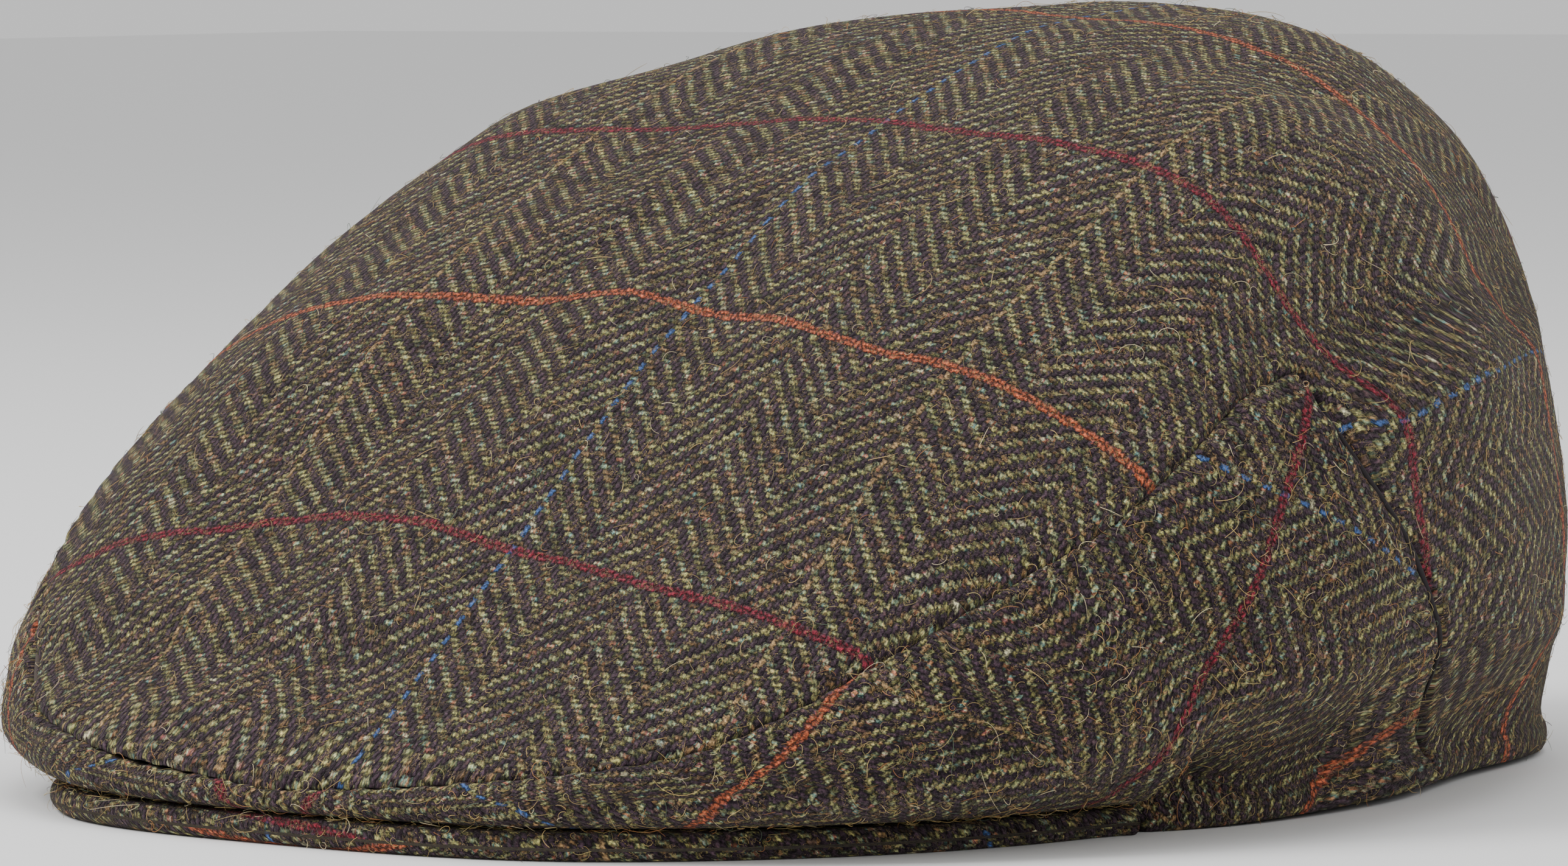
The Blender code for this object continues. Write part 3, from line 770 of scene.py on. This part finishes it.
def fibres(name, piece, count, seed):
    """Curly loose fibres that stand a little off a piece's outer face."""
    local = np.random.default_rng(seed)
    mesh = piece.data
    mesh.calc_loop_triangles()
    total = len(mesh.loop_triangles)
    corners = np.zeros(total * 3, np.int32)
    mesh.loop_triangles.foreach_get("vertices", corners)
    corners = corners.reshape(-1, 3)
    co = np.zeros(len(mesh.vertices) * 3, np.float32)
    mesh.vertices.foreach_get("co", co)
    co = co.reshape(-1, 3).astype(float)
    half = len(co) // 2
    if name != "fibres_peak":
        corners = corners[(corners < half).all(1)]
    a, b, c = co[corners[:, 0]], co[corners[:, 1]], co[corners[:, 2]]
    cross = np.cross(b - a, c - a)
    area = np.linalg.norm(cross, axis=1)
    if name == "fibres_peak":
        area = area * (cross[:, 2] > -0.5 * area) * (a[:, 1] < PEAK_FIBRES_Y)
    pick = local.choice(len(corners), count, p=area / area.sum())
    r1, r2 = np.sqrt(local.random(count)), local.random(count)
    start = (a[pick] * (1 - r1)[:, None] + b[pick] * (r1 * (1 - r2))[:, None]
             + c[pick] * (r1 * r2)[:, None])
    normal = cross[pick] / area[pick][:, None]
    side = unit(np.cross(normal, local.normal(size=(count, 3))))
    other = np.cross(normal, side)
    length = local.lognormal(math.log(FIBRE_LENGTH), 0.42, count).clip(*FIBRE_LENGTHS)
    bend = local.normal(0, FIBRE_BEND, count)
    twist = local.normal(0, FIBRE_TWIST, count)
    lift = local.lognormal(math.log(FIBRE_LIFT), 0.5, count).clip(*FIBRE_LIFTS)
    open_end = local.random(count) < FIBRE_OPEN
    t = np.linspace(0, 1, FIBRE_POINTS)[None, :]
    angle = bend[:, None] * t + twist[:, None] * t * t
    step = length[:, None] / (FIBRE_POINTS - 1)
    dx = np.cumsum(np.cos(angle) * step, axis=1)
    dy = np.cumsum(np.sin(angle) * step, axis=1)
    rise = np.where(open_end[:, None], lift[:, None] * 1.3 * t ** 0.8,
                    lift[:, None] * np.sin(math.pi * t)) - FIBRE_ROOT
    path = (start[:, None] + dx[..., None] * side[:, None] + dy[..., None] * other[:, None]
            + rise[..., None] * normal[:, None])
    radius = local.uniform(*FIBRE_RADII, count)[:, None] * (1 - 0.6 * t ** 3)
    tangent = unit(np.gradient(path, axis=1))
    e1 = unit(np.cross(tangent, normal[:, None] + 0.01))
    e2 = np.cross(tangent, e1)
    rings = []
    for k in range(FIBRE_SIDES):
        w = 2 * math.pi * k / FIBRE_SIDES
        rings.append(path + radius[..., None] * (math.cos(w) * e1 + math.sin(w) * e2))
    points = np.stack(rings, 2).reshape(-1, 3)
    base = np.arange(count)[:, None, None] * FIBRE_POINTS * FIBRE_SIDES
    i = np.arange(FIBRE_POINTS - 1)[None, :, None] * FIBRE_SIDES
    k = np.arange(FIBRE_SIDES)[None, None, :]
    n = (k + 1) % FIBRE_SIDES
    ring, ahead = base + i, base + i + FIBRE_SIDES
    quads = np.stack([ring + k, ring + n, ahead + n, ahead + k], -1).reshape(-1, 4)
    fibre_mesh = bpy.data.meshes.new(name)
    fibre_mesh.from_pydata(points.tolist(), [], quads.tolist())
    fibre_mesh.shade_smooth()
    palette = np.array(FIBRE_COLOURS[1:])
    kind = local.choice(len(palette), count, p=palette[:, 3] / palette[:, 3].sum())
    colour = palette[kind][:, :3] * local.uniform(0.6, 1.25, (count, 1))
    colour = np.column_stack([colour, np.ones(count)])
    every = np.repeat(colour, FIBRE_POINTS * FIBRE_SIDES, axis=0)
    data = fibre_mesh.attributes.new("tint", "FLOAT_COLOR", "POINT")
    data.data.foreach_set("color", every.astype(np.float32).ravel())
    return placed(name, fibre_mesh)


# Materials

class Graph:
    """Short calls for building a node tree."""

    def __init__(self, material):
        self.tree = material.node_tree
        self.nodes, self.links = self.tree.nodes, self.tree.links

    def put(self, socket, value):
        if isinstance(value, bpy.types.NodeSocket):
            self.links.new(value, socket)
        else:
            socket.default_value = value

    def calc(self, operation, *values):
        node = self.nodes.new("ShaderNodeMath")
        node.operation = operation
        for socket, value in zip(node.inputs, values):
            self.put(socket, value)
        return node.outputs[0]

    def add(self, a, b):
        return self.calc("ADD", a, b)

    def times(self, a, b):
        return self.calc("MULTIPLY", a, b)

    def less(self, a, b):
        return self.calc("SUBTRACT", a, b)

    def mix(self, share, a, b):
        """a where share is 0 and b where it is 1."""
        return self.add(a, self.times(share, self.less(b, a)))

    def vector(self, x, y, z):
        node = self.nodes.new("ShaderNodeCombineXYZ")
        for socket, value in zip(node.inputs, (x, y, z)):
            self.put(socket, value)
        return node.outputs[0]

    def attribute(self, name):
        node = self.nodes.new("ShaderNodeAttribute")
        node.attribute_name = name
        return node.outputs

    def split(self, vector):
        node = self.nodes.new("ShaderNodeSeparateXYZ")
        self.put(node.inputs[0], vector)
        return node.outputs

    def noise(self, vector, scale, detail=2.0, rough=0.5):
        node = self.nodes.new("ShaderNodeTexNoise")
        self.put(node.inputs["Vector"], vector)
        node.inputs["Scale"].default_value = scale
        node.inputs["Detail"].default_value = detail
        node.inputs["Roughness"].default_value = rough
        return node

    def ramp(self, value, stops):
        node = self.nodes.new("ShaderNodeValToRGB")
        points = node.color_ramp.elements
        while len(points) > 1:
            points.remove(points[-1])
        points[0].position, points[0].color = stops[0][0], (*stops[0][1], 1)
        for place, colour in stops[1:]:
            point = points.new(place)
            point.color = (*colour, 1)
        self.put(node.inputs["Fac"], value)
        return node.outputs["Color"]

    def blend(self, share, a, b, mode="MIX"):
        node = self.nodes.new("ShaderNodeMix")
        node.data_type = "RGBA"
        node.blend_type = mode
        for socket, value in ((node.inputs[0], share), (node.inputs[6], a), (node.inputs[7], b)):
            if isinstance(value, tuple) and len(value) == 3:
                value = (*value, 1)
            self.put(socket, value)
        return node.outputs[2]


WARP_DARK = (0.021, 0.011, 0.019)
WARP_LIGHT = (0.072, 0.042, 0.058)
WARP_FLECK = (0.150, 0.075, 0.055)
WEFT_COLOURS = (
    (0.00, (0.090, 0.055, 0.040)),
    (0.14, (0.330, 0.190, 0.080)),
    (0.26, (0.120, 0.110, 0.060)),
    (0.36, (0.460, 0.410, 0.140)),
    (0.46, (0.170, 0.210, 0.100)),
    (0.54, (0.450, 0.350, 0.130)),
    (0.62, (0.120, 0.180, 0.120)),
    (0.70, (0.400, 0.380, 0.160)),
    (0.78, (0.100, 0.230, 0.210)),
    (0.86, (0.400, 0.190, 0.080)),
    (0.93, (0.220, 0.065, 0.070)),
    (1.00, (0.430, 0.400, 0.250)),
)
BLUE = (0.060, 0.130, 0.330)
TAN = (0.380, 0.240, 0.110)
RED = (0.260, 0.022, 0.040)
ORANGE = (0.640, 0.150, 0.060)
HAIR = (0.360, 0.260, 0.110)

# How the cloth strays out of true: noise to the millimetre, and the shift in millimetres
STRAYS = (
    ("scale", "detail", "rough", "shift"),
    (0.045, 1.0, 0.5, 1.60),
    (0.750, 2.0, 0.5, 0.85),
    (2.400, 2.0, 0.6, 0.75),
)
PLY_LENGTH = 0.80  # millimetres from one ply to the next along a yarn
PLY_WIND = 4.5  # how far a ply winds across the yarn, in radians
PLY_DEPTH = 0.22  # as a share of the yarn's height
WARP_STOPS = ((0.35, WARP_DARK), (0.62, WARP_LIGHT), (0.74, WARP_FLECK))
OWN_TINT = 0.75  # how much tint is a float's own
OWN_LEAST = 0.34  # least brightness of a float
OWN_SPREAD = 1.20  # and how far it goes up from there
LINE_WORN = 0.55  # how far a coloured line may be dulled
LINE_PICKS = 0.6  # half its width, in picks
FLUFF_REACH = 0.90  # millimetres from the middle of a coloured line
FLUFF_MOST = 0.85  # most of the colour under it that the fluff hides
WEFT_FACE = 1.7  # how fast the light yarns darken towards their ends
LEAST_SHADE = 0.08
HAIR_WIDTH = 0.013  # of the noise's range
HAIR_PATCH = 0.53  # hairs lie where the coarser noise is more than this
HAIR_HIDES = 0.75
BUMP_HEIGHT = 0.00042  # in metres
TWEED_SURFACE = (
    ("Roughness", 0.92), ("Specular IOR Level", 0.18), ("Sheen Weight", 0.14),
    ("Sheen Roughness", 0.40), ("Sheen Tint", (0.72, 0.62, 0.58, 1)),
)
FIBRE_SURFACE = (("Roughness", 0.55), ("Specular IOR Level", 0.35))


def new_material(name, surface):
    """A material and its surface node, with the given values of its sockets."""
    material = bpy.data.materials.new(name)
    material.use_nodes = True
    shader = material.node_tree.nodes["Principled BSDF"]
    for socket, value in surface:
        shader.inputs[socket].default_value = value
    return material, shader


def tweed(name):
    material, shader = new_material(name, TWEED_SURFACE)
    g = Graph(material)
    base = g.attribute("cloth")["Vector"]
    true_place = g.split(base)
    noises = [g.split(g.noise(base, *row[:3]).outputs["Color"]) for row in STRAYS[1:]]
    place = []
    for axis in (0, 1):
        shifts = [g.times(g.less(noise[axis], 0.5), row[3]) for noise, row in zip(noises, STRAYS[1:])]
        place.append(g.add(true_place[axis], g.add(g.add(shifts[0], shifts[1]), shifts[2])))
    u, v = place
    # A 2/2 twill, which turns at each column: m says which yarn is on the face, and t how far along
    # its float the place is
    a, b = g.times(u, 1 / WARP_PITCH), g.times(v, 1 / WEFT_PITCH)
    i, j = g.calc("FLOOR", a), g.calc("FLOOR", b)
    fa, fb = g.less(a, i), g.less(b, j)
    column = g.calc("FLOOR", g.times(i, 1 / COLUMN_ENDS))
    odd = g.calc("FLOORED_MODULO", column, 2.0)
    sign = g.less(g.times(odd, 2.0), 1.0)
    # Column 0 is just right of the blue yarn, where the ribs run forward to the right
    m = g.calc("FLOORED_MODULO", g.add(g.less(j, g.times(sign, i)), g.times(column, 2.0)), 4.0)
    warp_up = g.calc("LESS_THAN", m, 1.5)
    along_warp = g.times(g.add(m, fb), 0.5)
    e = g.less(0.5, g.times(sign, g.less(g.less(m, 2.0), 0.5)))
    along_weft = g.times(g.add(e, fa), 0.5)
    t = g.mix(warp_up, along_weft, along_warp)
    across = g.mix(warp_up, g.calc("ABSOLUTE", g.less(g.times(fb, 2.0), 1.0)),
                   g.calc("ABSOLUTE", g.less(g.times(fa, 2.0), 1.0)))
    round_over = g.calc("MAXIMUM", g.less(1.02, g.times(across, across)), 0.0)
    arch = g.calc("POWER", g.calc("MAXIMUM", g.calc("SINE", g.times(t, math.pi)), 0.0), 0.7)
    height = g.times(round_over, arch)
    # The two plies of each yarn
    run = g.mix(warp_up, u, v)
    over = g.mix(warp_up, fb, fa)
    wound = g.add(g.times(run, 2 * math.pi / PLY_LENGTH), g.times(over, PLY_WIND))
    ply = g.times(g.calc("SINE", wound), PLY_DEPTH)
    # Colours, which change along each yarn
    warp_tone = g.noise(g.vector(g.times(i, 3.7), g.times(v, 0.30), 1.0), 1.0, 2.0).outputs["Fac"]
    weft_tone = g.noise(g.vector(g.times(u, 0.52), g.times(j, 3.3), 5.0), 1.0, 2.5, 0.65).outputs["Fac"]
    warp = g.ramp(warp_tone, WARP_STOPS)
    # Each time a yarn comes to the face it has its own tint and brightness
    knot = g.vector(g.calc("FLOOR", g.add(g.less(i, e), 0.5)), j, 3.0)
    own = g.nodes.new("ShaderNodeTexWhiteNoise")
    own.noise_dimensions = "3D"
    g.put(own.inputs["Vector"], knot)
    own_tint, own_bright, own_wear = g.split(own.outputs["Color"])
    spread = g.add(g.calc("MULTIPLY_ADD", g.less(weft_tone, 0.5), 1.9, 0.5),
                   g.times(g.less(own_tint, 0.5), OWN_TINT))
    weft = g.ramp(spread, WEFT_COLOURS)
    bright = g.calc("MULTIPLY_ADD", own_bright, OWN_SPREAD, OWN_LEAST)
    weft = g.blend(1.0, weft, g.vector(bright, bright, bright), "MULTIPLY")
    end = g.calc("FLOORED_MODULO", i, float(2 * WARP_CELL))
    pick = g.calc("FLOORED_MODULO", j, float(2 * WEFT_CELL))
    warp = g.blend(g.calc("COMPARE", end, 0.0, 0.5), warp, BLUE)
    warp = g.blend(g.calc("COMPARE", end, float(WARP_CELL), 0.5), warp, TAN)
    red_line = g.calc("COMPARE", pick, 0.5, LINE_PICKS)
    orange_line = g.calc("COMPARE", pick, float(WEFT_CELL) + 0.5, LINE_PICKS)
    weft = g.blend(red_line, weft, RED)
    weft = g.blend(orange_line, weft, ORANGE)
    worn = g.times(g.add(red_line, orange_line), g.times(own_wear, LINE_WORN))
    weft = g.blend(worn, weft, WARP_LIGHT)
    colour = g.blend(warp_up, weft, warp)
    # The coloured picks are thick: their fluff spreads over the yarns beside them
    fluff = g.noise(base, 1.3, 2.0, 0.6).outputs["Fac"]
    period = float(2 * WEFT_CELL) * WEFT_PITCH
    for middle, dye in ((WEFT_PITCH, RED), (WEFT_CELL * WEFT_PITCH + WEFT_PITCH, ORANGE)):
        off = g.calc("FLOORED_MODULO", g.add(g.less(v, middle), period / 2), period)
        off = g.less(off, period / 2)
        near = g.less(1.0, g.times(g.calc("ABSOLUTE", off), 1 / FLUFF_REACH))
        share = g.calc("MULTIPLY", g.add(near, g.times(g.less(fluff, 0.5), 2.4)), 1.1)
        share = g.calc("MAXIMUM", g.calc("MINIMUM", share, FLUFF_MOST), 0.0)
        share = g.times(share, g.calc("GREATER_THAN", near, 0.0))
        colour = g.blend(share, colour, dye)
    # Hairs that lie over the yarns and blur them
    fine = g.noise(base, 3.1, 3.0, 0.65).outputs["Fac"]
    strand = g.noise(base, 1.15, 2.0, 0.6).outputs["Fac"]
    hair = g.calc("LESS_THAN", g.calc("ABSOLUTE", g.less(strand, 0.5)), HAIR_WIDTH)
    patch = g.calc("GREATER_THAN", g.noise(base, 0.42, 1.0).outputs["Fac"], HAIR_PATCH)
    hair = g.times(hair, patch)
    # Shade between the yarns
    face = g.mix(warp_up, g.calc("POWER", height, WEFT_FACE), height)
    depth = g.add(g.times(face, 0.88), g.add(0.13, ply))
    grain = g.noise(base, 1.9, 2.0, 0.6).outputs["Fac"]
    broken = g.calc("MULTIPLY_ADD", g.less(grain, 0.5), 4.4, 1.05)
    broken = g.calc("MAXIMUM", broken, 0.25)
    shade = g.times(g.add(g.times(depth, 0.95), g.times(g.less(fine, 0.5), 1.6)), broken)
    shade = g.calc("MAXIMUM", shade, LEAST_SHADE)
    colour = g.blend(1.0, colour, g.vector(shade, shade, shade), "MULTIPLY")
    colour = g.blend(g.times(hair, HAIR_HIDES), colour, HAIR)
    g.put(shader.inputs["Base Color"], colour)
    bump = g.nodes.new("ShaderNodeBump")
    bump.inputs["Strength"].default_value = 1.0
    bump.inputs["Distance"].default_value = BUMP_HEIGHT
    total = g.add(g.add(height, ply), g.add(g.times(fine, 0.55), g.times(hair, 0.5)))
    g.put(bump.inputs["Height"], total)
    g.put(shader.inputs["Normal"], bump.outputs[0])
    return material


def fibre_material(name):
    material, shader = new_material(name, FIBRE_SURFACE)
    g = Graph(material)
    g.put(shader.inputs["Base Color"], g.attribute("tint")["Color"])
    return material


def plain(name, colour, rough):
    return new_material(name, (("Base Color", (*colour, 1)), ("Roughness", rough)))[0]


# Build

def seam_shade_line(name, path, sunk, colour, side):
    """A dark tube sunk between a seam's turned edges: painted shade for the shadow at the seam's
    bottom.
    """
    path = path - sunk * outward(path)
    lengths = run_lengths(path)
    even = np.linspace(0, lengths[-1], SHADE_LINE_STEPS)
    path = np.stack([np.interp(even, lengths, path[:, axis]) for axis in range(3)], -1)
    ahead = unit(np.gradient(path, axis=0))
    out = outward(path)
    beside = np.cross(ahead, out)
    taper = np.sin(np.linspace(0.12, math.pi - 0.12, len(path))) ** SHADE_LINE_TAPER
    angles = 2 * math.pi * np.arange(SHADE_LINE_SIDES) / SHADE_LINE_SIDES
    rings = [path + (SHADE_LINE_RADIUS * taper)[:, None] * (math.cos(a) * out + math.sin(a) * beside)
             for a in angles]
    points = np.stack(rings, 1).reshape(-1, 3) * np.array([side, 1, 1])
    at = np.arange(len(points)).reshape(len(path), SHADE_LINE_SIDES)
    faces = grid_faces(np.hstack([at, at[:, :1]]))
    faces += [tuple(at[0].tolist()), tuple(at[-1, ::-1].tolist())]
    mesh = bpy.data.meshes.new(name)
    mesh.from_pydata(points.tolist(), [], faces)
    mesh.shade_smooth()
    mesh.materials.append(plain("material_" + name, colour, 0.9))
    return placed(name, mesh)


PIECES = (
    ("cloth_top", "crown_top", "top_tweed", 3600),
    ("cloth_side_left", "side_panel_left", "side_tweed", 1300),
    ("cloth_side_right", "side_panel_right", "side_tweed", 1300),
    ("cloth_peak", "peak", "peak_tweed", 500),
)

built = {
    "crown_top": crown_top("cloth_top"),
    "side_panel_left": side_panel("cloth_side_left", 1),
    "side_panel_right": side_panel("cloth_side_right", -1),
    "peak": peak_piece("cloth_peak"),
}
for order, (piece_name, node, slot, hairs) in enumerate(PIECES):
    piece = built[node]
    piece.data.materials.append(tweed("tweed_" + node))
    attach(piece, "root")
    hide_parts(node)
    fuzz = fibres("fibres_" + node, piece, hairs, 40 + order)
    fuzz.data.materials.append(fibre_material("fibre_" + node))
    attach(fuzz, "root")

# Painted shade: dark tubes in the seams behind each side panel and along its top stand in for the
# seams' shadow
rear_line = REAR_PATH[(REAR_PATH[:, 2] > SHADE_LINE_LOW) & (REAR_PATH[:, 2] < SHADE_LINE_HIGH)]
for label, path, sunk, colour in (("rear", rear_line, REAR_SHADE_SUNK, SEAM_SHADE_DARK),
                                  ("side", FRONT_PATH, SIDE_SHADE_SUNK, SEAM_SHADE_BROWN)):
    for end, side in (("left", 1), ("right", -1)):
        shade_line = seam_shade_line("seam_" + label + "_" + end, path, sunk, colour, side)
        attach(shade_line, "root")

# Floor, light and camera

FLOOR_REACH = 6
FLOOR_COLOUR = (0.86, 0.86, 0.86)
corners = [(x * FLOOR_REACH, y * FLOOR_REACH, 0) for x, y in ((-1, -1), (1, -1), (1, 1), (-1, 1))]
floor_mesh = bpy.data.meshes.new("floor")
floor_mesh.from_pydata(corners, [], [(0, 1, 2, 3)])
floor_mesh.materials.append(plain("floor_pale", FLOOR_COLOUR, 0.8))
floor = placed("floor", floor_mesh)

world = bpy.data.worlds.new("studio")
world.use_nodes = True
background = world.node_tree.nodes["Background"]
background.inputs["Color"].default_value = (1.0, 1.0, 1.0, 1)
background.inputs["Strength"].default_value = 0.75
bpy.context.scene.world = world

LIGHT_AIM = Vector((0, 0, 0.05))
LIGHTS = (
    ("name", "x", "y", "z", "size", "power"),
    ("key", -0.75, -0.95, 1.45, 0.9, 24.0),
    ("side", 1.35, -0.55, 0.75, 0.9, 5.0),
    ("top", -0.10, 0.10, 1.60, 1.2, 10.0),
)
for row in LIGHTS[1:]:
    light = dict(zip(LIGHTS[0], row))
    data = bpy.data.lights.new(light["name"], "AREA")
    data.size = light["size"]
    data.energy = light["power"]
    lamp = bpy.data.objects.new(light["name"], data)
    lamp.location = (light["x"], light["y"], light["z"])
    aim = LIGHT_AIM - lamp.location
    lamp.rotation_euler = aim.to_track_quat("-Z", "Y").to_euler()
    bpy.context.scene.collection.objects.link(lamp)

CAMERA_AZIMUTH = 41.0
CAMERA_ELEVATION = 3.28
CAMERA_ROLL = -0.51
CAMERA_DISTANCE = 1.300
AIM_HEIGHT = 0.055
PIXELS_PER_METRE = 10940.0
PHOTO_WIDTH = 2576
PHOTO_HEIGHT = 1423
CENTRE_X = 1411.6
CENTRE_Y = 670.1
SENSOR = 36.0


def photo_camera():
    azimuth, elevation = math.radians(CAMERA_AZIMUTH), math.radians(CAMERA_ELEVATION)
    forward = Vector((-math.sin(azimuth) * math.cos(elevation), math.cos(azimuth) * math.cos(elevation),
                      -math.sin(elevation)))
    right = Vector((math.cos(azimuth), math.sin(azimuth), 0))
    up = right.cross(forward)
    place = Vector((0, 0, AIM_HEIGHT)) - forward * CAMERA_DISTANCE
    focal = PIXELS_PER_METRE * CAMERA_DISTANCE
    # The picture's centre is a little left of and above the aim point, so the camera turns to it
    off_x = (PHOTO_WIDTH / 2 - CENTRE_X) / focal
    off_y = -(PHOTO_HEIGHT / 2 - CENTRE_Y) / focal
    ahead = (forward + right * off_x + up * off_y).normalized()
    side = ahead.cross(up).normalized()
    level = side.cross(ahead)
    turn = Matrix((side, level, -ahead)).transposed().to_4x4()
    data = bpy.data.cameras.new("camera")
    data.sensor_width = SENSOR
    data.lens = SENSOR * focal / PHOTO_WIDTH
    data.clip_start, data.clip_end = 0.05, 50
    camera = bpy.data.objects.new("camera", data)
    roll = Matrix.Rotation(math.radians(CAMERA_ROLL), 4, "Z")
    camera.matrix_world = Matrix.Translation(place) @ turn @ roll
    bpy.context.scene.collection.objects.link(camera)
    bpy.context.scene.camera = camera


photo_camera()
